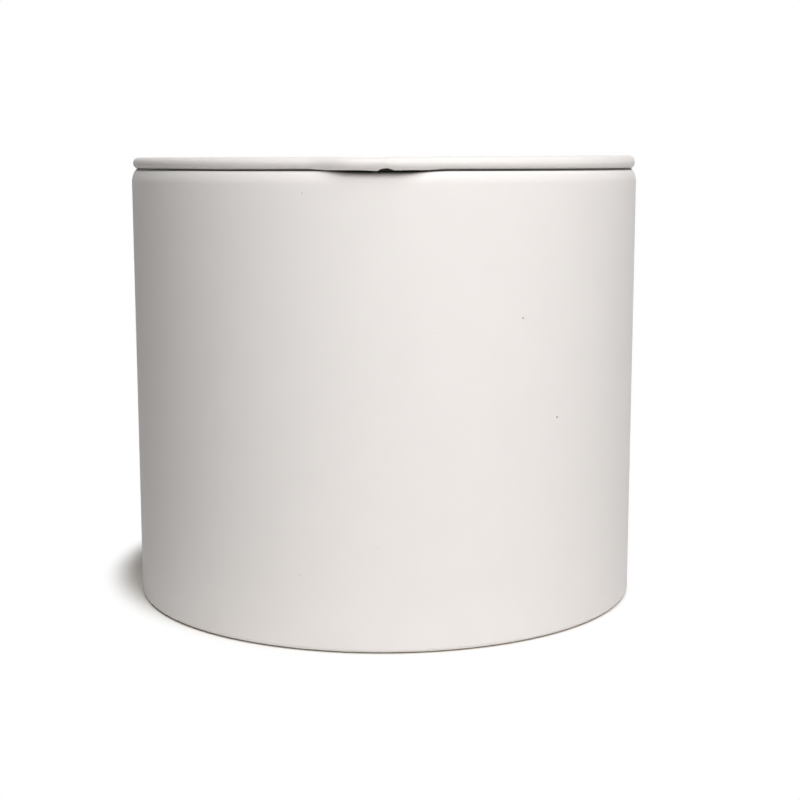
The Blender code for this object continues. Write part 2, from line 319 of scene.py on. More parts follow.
no_shadow = any_of(tree, beyond(tree, place, SHADOW_CENTRE, SHADOW_FADE),
                   soft_step(tree, across, SHADOW_SIDE))
no_contact = beyond(tree, place, (0, 0, 0), CONTACT_FADE)
fade = sum_node(tree, NUMBERS, "MINIMUM", no_shadow, no_contact)
matt = set_inputs(tree.nodes.new("ShaderNodeBsdfDiffuse"), Color=FLOOR_TONE)
plain = set_inputs(tree.nodes.new("ShaderNodeEmission"), Color=PLAIN_WHITE, Strength=1.0)
seen = mix_shaders(tree, fade.outputs[0], matt.outputs[0], plain.outputs[0])
# Painted shade: the floor's colour for the rays that light the tin is darker on the left.
shaded_bounce = between(tree, soft_step(tree, across, SHADED_BOUNCE_SIDE), (SHADED_BOUNCE_SHARE, 1.0))
bounce = tree.nodes.new("ShaderNodeBsdfDiffuse")
tree.links.new(scaled(tree, FLOOR_BOUNCE, shaded_bounce), bounce.inputs["Color"])
two_answers(tree, bounce.outputs[0], seen, "ShaderNodeOutputMaterial")
mesh.materials.append(paper)
print("floor:", FLOOR_RADIUS, "m in radius")

# %% [markdown]
# ## Finishes: three small effects that are shared
#
# The coat is a matt powder coat: powder that was sprayed on and baked, which leaves a very
# fine ripple like the peel of an orange, slight changes of tone, and now and then a speck of
# another powder. Each effect is a node group with named inputs, built once and used with its
# own values in each finish.

# %% Group: ripple and tone of a baked coat
VECTOR = "NodeSocketVector"
FLOAT = "NodeSocketFloat"
PEEL_DETAIL = 1.5
FLOW_DETAIL = 2.0
FLOW_HEIGHT = 0.6


def new_group(name, inputs, outputs):
    """An empty node group with named sockets, and its two end nodes."""
    group = bpy.data.node_groups.new(name, "ShaderNodeTree")
    for kind, label in inputs:
        group.interface.new_socket(label, in_out="INPUT", socket_type=kind)
    for kind, label in outputs:
        group.interface.new_socket(label, in_out="OUTPUT", socket_type=kind)
    return group, group.nodes.new("NodeGroupInput"), group.nodes.new("NodeGroupOutput")


def noise_in(group, source, scale_socket, detail):
    """A noise texture inside a group, read at the group's Place."""
    texture = set_inputs(group.nodes.new("ShaderNodeTexNoise"), Detail=detail)
    group.links.new(source.outputs["Place"], texture.inputs["Vector"])
    group.links.new(source.outputs[scale_socket], texture.inputs["Scale"])
    return texture.outputs["Fac"]


ripple, ripple_in, ripple_out = new_group(
    "coat_ripple", [(VECTOR, "Place"), (FLOAT, "Peel Scale"), (FLOAT, "Flow Scale")],
    [(FLOAT, "Height"), (FLOAT, "Tone")])
peel = noise_in(ripple, ripple_in, "Peel Scale", PEEL_DETAIL)
flow = noise_in(ripple, ripple_in, "Flow Scale", FLOW_DETAIL)
both = sum_node(ripple, NUMBERS, "MULTIPLY_ADD", flow, FLOW_HEIGHT, peel)
ripple.links.new(both.outputs[0], ripple_out.inputs["Height"])
ripple.links.new(flow, ripple_out.inputs["Tone"])
print("group:", ripple.name)

# %% [markdown]
# Specks come in two kinds. A Voronoi texture scatters cells over the coat, and a speck shows
# only in the few cells whose random colour passes a threshold.

# %% Group: scattered specks
DOT_EDGE = (0.035, 0.012)

specks, specks_in, specks_out = new_group(
    "coat_specks", [(VECTOR, "Place"), (FLOAT, "Cells"), (FLOAT, "Rarity")], [(FLOAT, "Mask")])
cells = specks.nodes.new("ShaderNodeTexVoronoi")
specks.links.new(specks_in.outputs["Place"], cells.inputs["Vector"])
specks.links.new(specks_in.outputs["Cells"], cells.inputs["Scale"])
lot = specks.nodes.new("ShaderNodeSeparateColor")
specks.links.new(cells.outputs["Color"], lot.inputs["Color"])
chosen = sum_node(specks, NUMBERS, "GREATER_THAN", lot.outputs["Red"], specks_in.outputs["Rarity"])
dot = soft_step(specks, cells.outputs["Distance"], DOT_EDGE)
only = sum_node(specks, NUMBERS, "MULTIPLY", dot, chosen.outputs[0])
specks.links.new(only.outputs[0], specks_out.inputs["Mask"])
print("group:", specks.name)

# %% [markdown]
# The handful of larger specks that catch the eye on this tin are placed one by one, as the
# distance to a point. Divided by the radius of the speck, that distance is 1 at its edge, and
# the mask falls from 1 to 0 across it.

# %% Group: one placed speck
SPOT_EDGE = (1.3, 0.7)

speck, speck_in, speck_out = new_group(
    "placed_speck", [(VECTOR, "Place"), (VECTOR, "Centre"), (FLOAT, "Radius")], [(FLOAT, "Mask")])
away = sum_node(speck, VECTORS, "DISTANCE", speck_in.outputs["Place"], speck_in.outputs["Centre"])
share = sum_node(speck, NUMBERS, "DIVIDE", away.outputs["Value"], speck_in.outputs["Radius"])
speck.links.new(soft_step(speck, share.outputs[0], SPOT_EDGE), speck_out.inputs["Mask"])
print("group:", speck.name)

# %% [markdown]
# ## The white coat
#
# The drum, the lid and the pieces inside share one powder coat, but not one material: the
# specks placed on the drum belong to the drum alone. A function makes each coat with its own
# values. Plain numbers such as the share of mirrored light are set on the shader itself, and
# only what changes over the surface goes through nodes. First come the steps that every
# finish starts and ends with.

# %% Start and relief of a finish
def new_finish(name, **values):
    """A material, its tree, its shader with plain values set, and the place on the piece."""
    material = bpy.data.materials.new(name)
    material.use_nodes = True
    tree = material.node_tree
    shader = set_inputs(tree.nodes["Principled BSDF"], **values)
    return material, tree, shader, tree.nodes.new("ShaderNodeTexCoord").outputs["Object"]


def use_group(tree, group, place, **values):
    """Place a node group, with its pattern at place and its other inputs set to values."""
    node = tree.nodes.new("ShaderNodeGroup")
    node.node_tree = group
    tree.links.new(place, node.inputs["Place"])
    return set_inputs(node, **values)


def add_bump(tree, shader, height, depth):
    """Give a finish a relief of a depth."""
    bump = set_inputs(tree.nodes.new("ShaderNodeBump"), Distance=depth)
    tree.links.new(height, bump.inputs["Height"])
    tree.links.new(bump.outputs[0], shader.inputs["Normal"])


print("groups to use:", [group.name for group in (ripple, specks, speck)])

# %% [markdown]
# The coat mixes its own tone with the dark of the specks, and its gloss changes a little with
# the same slow pattern as the tone, because the powder lies thicker in some places.

# %% Coat
COAT_COLOR = (0.840, 0.808, 0.785)
SPECK_COLOR = (0.16, 0.14, 0.12, 1)
SPECULAR = 0.30
PEEL_SIZE = 0.9 * MM
FLOW_SIZE = 9 * MM
CELL_SIZE = 4 * MM
PEEL_DEPTH = 0.016 * MM
SPECK_RARITY = 0.985
TONE_ENDS = (0.985, 1.015)
GLOSS_CHANGE = 0.05


def coat_finish(name, roughness=0.55, placed=()):
    """Powder coat on one piece. placed lists (centre, radius) of specks that catch the eye."""
    material, tree, shader, place = new_finish(name, Specular_IOR_Level=SPECULAR)
    wave = use_group(tree, ripple, place, Peel_Scale=1 / PEEL_SIZE, Flow_Scale=1 / FLOW_SIZE)
    scattered = use_group(tree, specks, place, Cells=1 / CELL_SIZE, Rarity=SPECK_RARITY)
    masks = [scattered.outputs["Mask"]]
    for centre, radius in placed:
        spot = use_group(tree, speck, place, Centre=centre, Radius=radius)
        masks.append(spot.outputs["Mask"])
    tone = wave.outputs["Tone"]
    spotted = tree.nodes.new("ShaderNodeMix")
    spotted.data_type = "RGBA"
    spotted.inputs["B"].default_value = SPECK_COLOR
    tree.links.new(any_of(tree, *masks), spotted.inputs["Factor"])
    tree.links.new(scaled(tree, COAT_COLOR, between(tree, tone, TONE_ENDS)), spotted.inputs["A"])
    tree.links.new(spotted.outputs["Result"], shader.inputs["Base Color"])
    gloss = between(tree, tone, (roughness - GLOSS_CHANGE, roughness + GLOSS_CHANGE))
    tree.links.new(gloss, shader.inputs["Roughness"])
    add_bump(tree, shader, wave.outputs["Height"], PEEL_DEPTH)
    return material


print("speck cells:", round(CELL_SIZE / MM), "mm wide")

# %% [markdown]
# The specks that show on the wall of the drum are listed by their angle from the front, the
# height above the table and their size.

# %% Placed specks on the drum
DRUM_SPECKS = [(-15.7, 105.3, 0.10), (29.6, 76.9, 0.18), (38.9, 53.0, 0.22), (-17.0, 18.1, 0.08),
               (11.1, 74.3, 0.06), (-0.9, 25.0, 0.06)]


def on_wall(azimuth, height):
    """A point on the outside of the drum, from degrees round from the front."""
    angle = math.radians(azimuth)
    return Vector((wall_r * math.sin(angle), -wall_r * math.cos(angle), height))


drum_coat = coat_finish("drum_coat", placed=[(on_wall(azimuth, height * MM), size * MM)
                                             for azimuth, height, size in DRUM_SPECKS])
lid_coat = coat_finish("lid_coat")
inner_coat = coat_finish("inner_coat", roughness=0.60)
print("coats:", drum_coat.name, lid_coat.name, inner_coat.name)

# %% [markdown]
# ## Rubber
#
# The ring that grips the mouth is a matt silicone rubber, slightly off-white. The pads under
# the foot are dark rubber with a fine cut grain. In both of them one ripple changes the
# colour, between a dark and a light one, and the gloss. The same function makes the other
# plain finishes below.

# %% Rubber
def vary(tree, shader, pattern, dark, light, gloss):
    """Let a pattern change the colour from dark to light, and the roughness between two ends."""
    mix = tree.nodes.new("ShaderNodeMix")
    mix.data_type = "RGBA"
    set_inputs(mix, A=(*dark, 1), B=(*light, 1))
    tree.links.new(pattern, mix.inputs["Factor"])
    tree.links.new(mix.outputs["Result"], shader.inputs["Base Color"])
    tree.links.new(between(tree, pattern, gloss), shader.inputs["Roughness"])


def plain_finish(name, dark, light, grain, patches, gloss, depth=0.0, metallic=0.0):
    """A finish with a ripple of fine grain and wide patches, in relief if it has a depth."""
    material, tree, shader, place = new_finish(name, Metallic=metallic)
    wave = use_group(tree, ripple, place, Peel_Scale=1 / grain, Flow_Scale=1 / patches)
    vary(tree, shader, wave.outputs["Tone"], dark, light, gloss)
    if depth:
        add_bump(tree, shader, wave.outputs["Height"], depth)
    return material


soft_ring = plain_finish("soft_ring", dark=(0.561, 0.544, 0.5185), light=(0.746, 0.724, 0.691),
                         grain=0.5 * MM, patches=4 * MM, gloss=(0.54, 0.70), depth=0.02 * MM)
pad_rubber = plain_finish("pad_rubber", dark=[0.03825] * 3, light=[0.0695] * 3,
                          grain=0.35 * MM, patches=2.8 * MM, gloss=(0.72, 0.88), depth=0.03 * MM)
print("rubbers:", soft_ring.name, pad_rubber.name)

# %% [markdown]
# The wire inside the bead is bright drawn steel, with marks that run along it. A noise that
# is read by the distance from the middle and the height alone stays the same all round the
# tin, which gives such marks.

# %% Drawn wire
MARK_WIDTH = 0.06 * MM
MARK_DETAIL = 3.0

wire_steel, tree, shader, place = new_finish("wire_steel", Metallic=1.0)
flat = sum_node(tree, VECTORS, "MULTIPLY", place, (1, 1, 0))
outwards = sum_node(tree, VECTORS, "LENGTH", flat.outputs["Vector"])
split = tree.nodes.new("ShaderNodeSeparateXYZ")
tree.links.new(place, split.inputs[0])
join = tree.nodes.new("ShaderNodeCombineXYZ")
tree.links.new(outwards.outputs["Value"], join.inputs["X"])
tree.links.new(split.outputs["Z"], join.inputs["Y"])
marks = set_inputs(tree.nodes.new("ShaderNodeTexNoise"), Scale=1 / MARK_WIDTH, Detail=MARK_DETAIL)
tree.links.new(join.outputs[0], marks.inputs["Vector"])
vary(tree, shader, marks.outputs["Fac"], dark=(0.42, 0.42, 0.43), light=(0.62, 0.62, 0.63),
     gloss=(0.25, 0.50))
print("wire:", wire_steel.name)

# %% [markdown]
# The inner side of the rolled strip and the inner half of the bead's underside get a near-black
# finish of painted shade. It darkens the inside of the curl, seen through the notch, and the
# crevice under the bead, deeper than the white coat there would be in this light. It is dull,
# slightly metallic and mottled.

# %% Painted shade in dark steel
painted_shade_steel = plain_finish("painted_shade_steel", dark=(0.012, 0.011, 0.010), light=(0.032, 0.030, 0.028),
                          grain=0.4 * MM, patches=3 * MM, gloss=(0.55, 0.80), metallic=0.6)
print("uncoated steel:", painted_shade_steel.name)

# %% [markdown]
# The plug, its flange, the band under the bead and the spot welds are near black. This black
# is painted shade: it stands in for the deep shade in the gap between the bead and the shoulder,
# which shows as a black line. The finish is thin and satin, its ripple finer and lower than the
# powder coat's, and handling has dulled it in patches.

# %% Black finish, painted shade
black_coat = plain_finish("black_coat", dark=(0.042, 0.041, 0.040), light=(0.058, 0.057, 0.056),
                          grain=0.6 * MM, patches=6 * MM, gloss=(0.38, 0.52), depth=0.006 * MM)
print("lacquer:", black_coat.name)

# %% [markdown]
# ## How a sheet piece is made
#
# Every sheet part of the tin is a strip or a disc that was bent and turned, so it is modelled
# the same way. A few points give the corners of its section. Bevelling each corner point
# bends the line to the radius of that bend, a spin turns the line round the tin, and the
# modifiers give the sheet its thickness and ease its cut edges.

# %% Section, bends and turning
ROUND_STEPS = 256
BEND_STEPS = 8
MERGE_DISTANCE = 0.002 * MM
SHARP_ANGLE = math.radians(40)
LONG_FACE = 5 * MM
SHORT_FACE = 2 * MM


def bent_line(corners, closed=False):
    """Edges in the XZ plane through (r, z, bend radius) corners, each corner bent round."""
    bm = bmesh.new()
    verts = [bm.verts.new((r, 0, z)) for r, z, bend in corners]
    for first, second in zip(verts, verts[1:]):
        bm.edges.new((first, second))
    if closed:
        bm.edges.new((verts[-1], verts[0]))
    for vert, (r, z, bend) in zip(verts, corners):
        if bend:
            one, other = [edge.other_vert(vert).co - vert.co for edge in vert.link_edges]
            turning = math.pi - one.angle(other)
            bmesh.ops.bevel(bm, geom=[vert], offset=bend * math.tan(turning / 2),
                            offset_type="OFFSET", segments=BEND_STEPS, profile=0.5,
                            affect="VERTICES", material=-1)
    bmesh.ops.remove_doubles(bm, verts=bm.verts, dist=MERGE_DISTANCE)
    return bm


def divide_long(bm, longest=LONG_FACE):
    """Divide the edges of a section that are longer than a size."""
    for edge in bm.edges[:]:
        cuts = math.ceil(edge.calc_length() / longest) - 1
        if cuts > 0:
            bmesh.ops.subdivide_edges(bm, edges=[edge], cuts=cuts)


def turn_round(bm, stretches=((math.tau, ROUND_STEPS),)):
    """Turn a section once round Z, in stretches of (angle, steps), and close its seam."""
    ring = bm.verts[:] + bm.edges[:]
    for angle, steps in stretches:
        turned = bmesh.ops.spin(bm, geom=ring, cent=(0, 0, 0), axis=(0, 0, 1), angle=angle,
                                steps=steps)
        ring = turned["geom_last"]
    bmesh.ops.remove_doubles(bm, verts=bm.verts, dist=MERGE_DISTANCE)
    bmesh.ops.recalc_face_normals(bm, faces=bm.faces)


def face_towards(bm, place):
    """Turn the drawn side over if its face nearest to place looks away from it."""
    target = Vector(place)
    nearest = min(bm.faces, key=lambda face: (face.calc_center_median() - target).length)
    if nearest.normal.dot(target - nearest.calc_center_median()) < 0:
        bmesh.ops.reverse_faces(bm, faces=bm.faces)


print("a bend has", BEND_STEPS, "steps, and a turn", ROUND_STEPS)

# %% [markdown]
# A bmesh becomes an object with a material, shaded smooth apart from its sharp edges. Sheet
# gets its thickness inwards from the drawn side, so that side keeps its size. Last, each
# piece says which body of the frame carries it and which pieces of the model it stands for.

# %% Finished pieces
EDGE_STEPS = 3


def piece_from(bm, name, material):
    """A smooth-shaded object at the origin, made from a bmesh."""
    mesh = bpy.data.meshes.new(name)
    bm.to_mesh(mesh)
    bm.free()
    mesh.shade_smooth()
    mesh.set_sharp_from_angle(angle=SHARP_ANGLE)
    mesh.materials.append(material)
    obj = bpy.data.objects.new(name, mesh)
    bpy.context.scene.collection.objects.link(obj)
    return obj


def as_sheet(obj, thickness, eased, even=True):
    """Thickness inwards from the drawn side, and cut edges rounded as a coat rounds them."""
    solid = obj.modifiers.new("sheet", "SOLIDIFY")
    solid.thickness = thickness
    solid.offset = -1
    solid.use_even_offset = even
    edges = obj.modifiers.new("eased_edges", "BEVEL")
    edges.width = eased
    edges.segments = EDGE_STEPS
    edges.limit_method = "ANGLE"
    edges.angle_limit = SHARP_ANGLE


def sheet_from(corners, longest, drawn_side, name, material):
    """A turned piece of sheet, from the corners of its section to its modifiers."""
    section = bent_line(corners)
    divide_long(section, longest)
    turn_round(section)
    face_towards(section, drawn_side)
    obj = piece_from(section, name, material)
    as_sheet(obj, SHEET, EASED)
    return obj


def fit_piece(obj, body, slot, *nodes):
    """Say what the piece rides on and what it stands for. slot, the slot of its finish, is not
    used.
    """
    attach(obj, body)
    if nodes:
        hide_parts(*nodes)
    print(obj.name, "on", body, "has", len(obj.data.polygons), "faces before its modifiers")


print("cut edges are rounded by", round(EASED / MM, 2), "mm")

# %% [markdown]
# ## Where the thumb lip is
#
# The lid has a lip for the thumb at the front. Several pieces change their shape there, so
# its reach is given once: a share that is 1 in the middle of the lip and falls smoothly to 0
# at its two ends. A smooth step gives that fall.

# %% Share of the lip
LIP_CENTRE = math.radians(-1.1)
LIP_HALF_ANGLE = math.radians(14)
LIP_FLAT_ANGLE = math.radians(4)
LIP_STEPS = 56


def ease(value):
    """A smooth step from 0 to 1."""
    value = min(max(value, 0.0), 1.0)
    return value * value * (3 - 2 * value)


def lip_share(azimuth, flat_angle=LIP_FLAT_ANGLE):
    """How much of the lip there is at an angle from the front, from 0 to 1."""
    return ease((LIP_HALF_ANGLE - abs(azimuth - LIP_CENTRE)) / (LIP_HALF_ANGLE - flat_angle))


print("the lip runs", round(math.degrees(2 * LIP_HALF_ANGLE)), "degrees round the front")

# %% [markdown]
# ## The drum
#
# One sheet makes the wall. Its top edge goes over the shoulder and down again inside the
# mouth, and its foot is turned in under the wall. The drawn line is the coated outer side.
# Outside, the shoulder is a slow bend that leans the wall in and then a tight one on to the
# crest, as a spinning roller leaves it. The slow bend catches the light as a broad band. The
# two bends meet with no straight part between them, so their corners stand a thousandth
# further apart than the bends need. The wall is divided into short lengths so that its faces
# aren't long slivers.
#
# Under the thumb lip of the lid the shoulder is pressed down a little, which opens a dark
# line below the lip. The crest of the shoulder and the foot both lie a tenth of a millimetre
# or so below the model's, as the photograph shows them.

# %% Drum
CURL_LEG = 4.5 * MM
FOOT_RADIUS = 1.1 * MM
FOOT_HEM = 3.5 * MM
THUMB_DIP = 0.32 * MM
DIP_SHIFT = math.radians(1.8)
DIP_FLAT_ANGLE = math.radians(4)
CREST_DROP = 0.08 * MM
FOOT_DROP = 0.15 * MM
LEAN_ANGLE = math.radians(32)
LEAN_RADIUS = 4.7 * MM
CREST_RADIUS = 0.85 * MM
BEND_ROOM = 1.001

curl_r = wall_r - 2 * SHOULDER_RADIUS
lean = (LEAN_RADIUS * math.tan(LEAN_ANGLE / 2)
        + CREST_RADIUS * math.tan((math.pi / 2 - LEAN_ANGLE) / 2)) * BEND_ROOM
crest_corner = wall_r - lean * math.sin(LEAN_ANGLE)
crest_z = drum_high.z - CREST_DROP
hem_z = foot_z - FOOT_DROP
section = bent_line([(curl_r, shoulder_z - CURL_LEG, 0),
                     (curl_r, crest_z, SHOULDER_RADIUS),
                     (crest_corner, crest_z, CREST_RADIUS),
                     (wall_r, crest_z - lean * math.cos(LEAN_ANGLE), LEAN_RADIUS),
                     (wall_r, hem_z, FOOT_RADIUS),
                     (wall_r - FOOT_HEM, hem_z, 0)])
divide_long(section)
to_lip = Matrix.Rotation(LIP_CENTRE - LIP_HALF_ANGLE - math.pi / 2, 3, "Z")
bmesh.ops.rotate(section, verts=section.verts, cent=(0, 0, 0), matrix=to_lip)
turn_round(section, [(2 * LIP_HALF_ANGLE, LIP_STEPS), (math.tau - 2 * LIP_HALF_ANGLE, ROUND_STEPS)])
face_towards(section, (2 * wall_r, 0, shoulder_z / 2))
for vert in section.verts:
    dip = THUMB_DIP * lip_share(math.atan2(vert.co.x, -vert.co.y) - DIP_SHIFT, DIP_FLAT_ANGLE)
    vert.co.z -= dip * ease((vert.co.z - shoulder_z) / SHOULDER_RADIUS)
drum = piece_from(section, "drum", drum_coat)
as_sheet(drum, SHEET, EASED)
fit_piece(drum, "box", "white_coat", "body_shell")

# %% [markdown]
# ## The lining of the mouth
#
# The cut edge of the curl would scratch whatever goes into the tin, so a ring is set inside
# it. Its foot is flanged out to the wall. The drawn side is the one that looks at the hand.

# %% Mouth lining
LINER_BEND = 1.4 * MM

liner_r = curl_r - TOUCH_GAP - SHEET
corners = [(liner_r, liner_high.z, 0), (liner_r, liner_low.z, LINER_BEND),
           (liner_high.x, liner_low.z, 0)]
mouth_lining = sheet_from(corners, SHORT_FACE, (0, 0, liner_high.z), "mouth_lining", inner_coat)
fit_piece(mouth_lining, "box", "white_coat", "mouth_ring")

# %% [markdown]
# ## The base
#
# The base is a pressed disc with a raised middle, which keeps it from drumming, and a rim
# turned down to stand on the foot of the wall.

# %% Base disc
STEP_R = 40 * MM
STEP_SLOPE = 1.5 * MM
BASE_RISE = 1.0 * MM
STEP_BEND = 2.5 * MM
BASE_BEND = 1.3 * MM

corners = [(0, base_high.z, 0), (STEP_R, base_high.z, STEP_BEND),
           (STEP_R + STEP_SLOPE, base_high.z - BASE_RISE, STEP_BEND),
           (base_high.x, base_high.z - BASE_RISE, BASE_BEND), (base_high.x, base_low.z, 0)]
base_disc = sheet_from(corners, LONG_FACE, (0, 0, 2 * base_high.z), "base_disc", inner_coat)
fit_piece(base_disc, "box", "white_coat", "base_plate")

# %% [markdown]
# ## Foot pads
#
# Four round rubber pads hold the wall a fraction of a millimetre off the table. A cone with
# equal radii is a disc. Both its edges are rounded, as on a moulded pad. Its flat faces are
# divided, because one face with so many corners would shade unevenly.

# %% Foot pads
PAD_STEPS = 64
PAD_EASED = 0.5 * MM
PAD_EDGE_STEPS = 4

for number in range(1, 5):
    low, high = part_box(f"foot_pad_{number}")
    bm = bmesh.new()
    disc = Matrix.Translation((low + high) / 2)
    radius = (high.x - low.x) / 2
    bmesh.ops.create_cone(bm, cap_ends=True, segments=PAD_STEPS, radius1=radius,
                          radius2=radius, depth=high.z - low.z, matrix=disc)
    caps = [face for face in bm.faces if len(face.verts) == PAD_STEPS]
    edges = [edge for face in caps for edge in face.edges]
    bmesh.ops.bevel(bm, geom=edges, offset=PAD_EASED, offset_type="OFFSET",
                    segments=PAD_EDGE_STEPS, profile=0.5, affect="EDGES", material=-1)
    caps = [face for face in bm.faces if len(face.verts) == PAD_STEPS]
    bmesh.ops.inset_region(bm, faces=caps, thickness=radius / 2)
    bmesh.ops.poke(bm, faces=[face for face in bm.faces if len(face.verts) == PAD_STEPS])
    pad = piece_from(bm, f"rubber_pad_{number}", pad_rubber)
    fit_piece(pad, "box", "pad_rubber", f"foot_pad_{number}")

# %% [markdown]
# ## The path of the lid's rim
#
# At the front the bead swings out over the shoulder into a lip for the thumb. It swells a
# little there, over a wider stretch than it swings out. Its middle drops by as much as its
# radius grows, so the crest stays level and only the foot of the bead dips. The same push is
# used for the bead, its wire and the edge of the lid's disc, so they stay together. The bead
# on this tin isn't even: towards the right its crest stands up to half a millimetre higher,
# and left of the lip its foot sags a little.

# %% Lip
LIP_OUT = 2.4 * MM
LIP_THICKEN = 0.04 * MM
SWELL_FLAT_ANGLE = math.radians(9)
CREST_LIFT = 0.45 * MM
CREST_START = math.radians(6)
CREST_FULL = math.radians(70)
CREST_END = math.radians(160)
FOOT_SAG = 0.08 * MM
SAG_CENTRE = math.radians(-34)
SAG_HALF_ANGLE = math.radians(20)


def crest_lift(azimuth):
    """How far the crest of the bead is raised at an angle from the front."""
    rising = ease((azimuth - CREST_START) / (CREST_FULL - CREST_START))
    falling = ease((CREST_END - azimuth) / (CREST_END - CREST_FULL))
    return CREST_LIFT * rising * falling


def foot_sag(azimuth):
    """How far the foot of the bead hangs down at an angle from the front."""
    return FOOT_SAG * ease(1 - abs(azimuth - SAG_CENTRE) / SAG_HALF_ANGLE)


def push_lip(bm, fade_from=None, thicken=False, lift=False):
    """Push a piece out and down over the lip: all of it, or more and more beyond fade_from."""
    for vert in bm.verts:
        r = math.hypot(vert.co.x, vert.co.y)
        azimuth = math.atan2(vert.co.x, -vert.co.y)
        share = lip_share(azimuth)
        swollen = LIP_THICKEN * lip_share(azimuth, SWELL_FLAT_ANGLE)
        follow = 1.0
        if fade_from:
            follow = min(max((r - fade_from) / (bead_r - fade_from), 0.0), 1.0)
        swell = swollen / BEAD_RADIUS if thicken else 0.0
        height = vert.co.z - bead_z
        new_r = r + (r - bead_r) * swell + LIP_OUT * share * follow
        new_z = vert.co.z + height * swell - swollen * follow
        if lift and height > 0:
            new_z += crest_lift(azimuth) * height / BEAD_RADIUS
        if lift and height < 0:
            new_z += foot_sag(azimuth) * height / BEAD_RADIUS
        if r > 0:
            vert.co = Vector((vert.co.x * new_r / r, vert.co.y * new_r / r, new_z))


print("lip reaches", round((bead_r + LIP_OUT + BEAD_RADIUS) / MM, 2), "mm from the middle")

# %% [markdown]
# ## The rolled bead
#
# The bead is a strip rolled round a wire, open on the inside where it holds the lid's disc.
# A point spun round the wire's middle draws its C-shaped section. The turn round the tin is
# made in stretches, with steps of a tenth of a millimetre across the seam at the front and
# longer ones elsewhere. The strip's two ends meet at the front. Before rolling, their lower
# corners were clipped away, which leaves a small ragged notch under the seam.

# %% Strip
BEAD_STEPS = 48
SLOT_HALF = 1.0 * MM
NOTCH_REACH = math.radians(4.2)
NOTCH_STEPS = 84
SIDE_STEPS = 56
REST_STEPS = 224
STRIP = 0.35 * MM
STRIP_EASED = 0.08 * MM

side = LIP_HALF_ANGLE - NOTCH_REACH
rim_stretches = [(side, SIDE_STEPS), (2 * NOTCH_REACH, NOTCH_STEPS), (side, SIDE_STEPS),
                 (math.tau - 2 * LIP_HALF_ANGLE, REST_STEPS)]


def rim_ring(start, sweep, steps):
    """A ring along the rim: a point spun round the middle of the bead, then round the tin."""
    bm = bmesh.new()
    point = bm.verts.new(start)
    bmesh.ops.spin(bm, geom=[point], cent=(bead_r, 0, bead_z), axis=(0, 1, 0), angle=sweep,
                   steps=steps)
    bmesh.ops.remove_doubles(bm, verts=bm.verts, dist=MERGE_DISTANCE)
    bmesh.ops.rotate(bm, verts=bm.verts, cent=(0, 0, 0), matrix=to_lip)
    turn_round(bm, rim_stretches)
    face_towards(bm, (2 * bead_r, 0, bead_z))
    return bm


slot_angle = math.atan2(SLOT_HALF, BEAD_RADIUS)
strip_edge = (bead_r - BEAD_RADIUS * math.cos(slot_angle), 0,
              bead_z + BEAD_RADIUS * math.sin(slot_angle))
bm = rim_ring(strip_edge, math.tau - 2 * slot_angle, BEAD_STEPS)
print("strip:", len(bm.faces), "faces")

# %% [markdown]
# The notch is cut where the face of the strip lies below an uneven outline, drawn by its
# distance along the rim and its height above the foot of the bead. A little noise makes the
# edge ragged, as torn coat is, and smoothing the loose edge takes the steps out of it.

# %% Notch under the seam
NOTCH_OUTLINE = [(-0.90, 0.0), (-0.26, 0.33), (0.10, 0.53), (0.65, 0.55), (0.85, 0.35),
                 (1.48, 0.31), (1.95, 0.21), (2.36, 0.07), (2.65, 0.0)]
NOTCH_REACH_MM = 2.9
RELIEF_MM = (-0.7, 2.5)
RAGGED = 0.05 * MM
RAGGED_SCALE = 1 / (0.35 * MM)
SMOOTH_PASSES = 2


def notch_top(along):
    """Height of the notch above the foot of the bead, at a distance along the rim."""
    for (low, first), (high, second) in zip(NOTCH_OUTLINE, NOTCH_OUTLINE[1:]):
        if low <= along / MM <= high:
            return (first + (second - first) * (along / MM - low) / (high - low)) * MM
    return 0.0


def in_notch(face):
    """Whether a face of the strip falls in the notch or in the relief cut behind it."""
    centre = face.calc_center_median()
    along = math.atan2(centre.x, -centre.y) * bead_r
    out = math.hypot(centre.x, centre.y) - bead_r
    if abs(along) > NOTCH_REACH_MM * MM or centre.z > bead_z:
        return False
    ragged = RAGGED * noise.noise(centre * RAGGED_SCALE)
    if out < 0:
        return RELIEF_MM[0] * MM < along + ragged < RELIEF_MM[1] * MM
    return centre.z - (bead_z - BEAD_RADIUS) < notch_top(along + ragged) + ragged


clipped = [face for face in bm.faces if in_notch(face)]
bmesh.ops.delete(bm, geom=clipped, context="FACES")
loose = [vert for vert in bm.verts if vert.is_boundary and vert.co.z < bead_z
         and vert.co.y < 0 and abs(vert.co.x) < NOTCH_REACH_MM * MM]
for turn in range(SMOOTH_PASSES):
    bmesh.ops.smooth_vert(bm, verts=loose, factor=0.5, use_axis_x=True, use_axis_y=True,
                          use_axis_z=True)
print("clipped", len(clipped), "faces")

# %% [markdown]
# Above the notch the two ends meet in a butt seam that leans to the right. The coat bridges
# it, so it is closed, but it shows as a fine ridge with a pinhole beside it. The left end lies
# a little lower than the right one and is rolled further under. Its foot comes back to its
# height after a few millimetres, and its crest takes longer. The faces of the inner half of
# the underside are marked before the points move, and get a near-black second material:
# painted shade for the crevice under the bead.

# %% Seam
SEAM_FOOT = 0.6 * MM
SEAM_LEAN = 0.25
SEAM_RIDGE = 0.03 * MM
SEAM_WIDTH = 0.20 * MM
SEAM_STEP = 0.22 * MM
SEAM_ROLL = 0.25
CREST_FADE = 17 * MM
FOOT_FADE = 6 * MM
PAINTED_SHADE_INSET = 0.15 * MM
PINHOLE_ALONG = 0.95 * MM
PINHOLE_UP = 0.95 * MM
PINHOLE_RADIUS = 0.18 * MM
PINHOLE_DEPTH = 0.15 * MM

painted_shade_faces = set()
for face in bm.faces:
    centre = face.calc_center_median()
    if centre.z < bead_z and math.hypot(centre.x, centre.y) < bead_r - PAINTED_SHADE_INSET:
        painted_shade_faces.add(face)

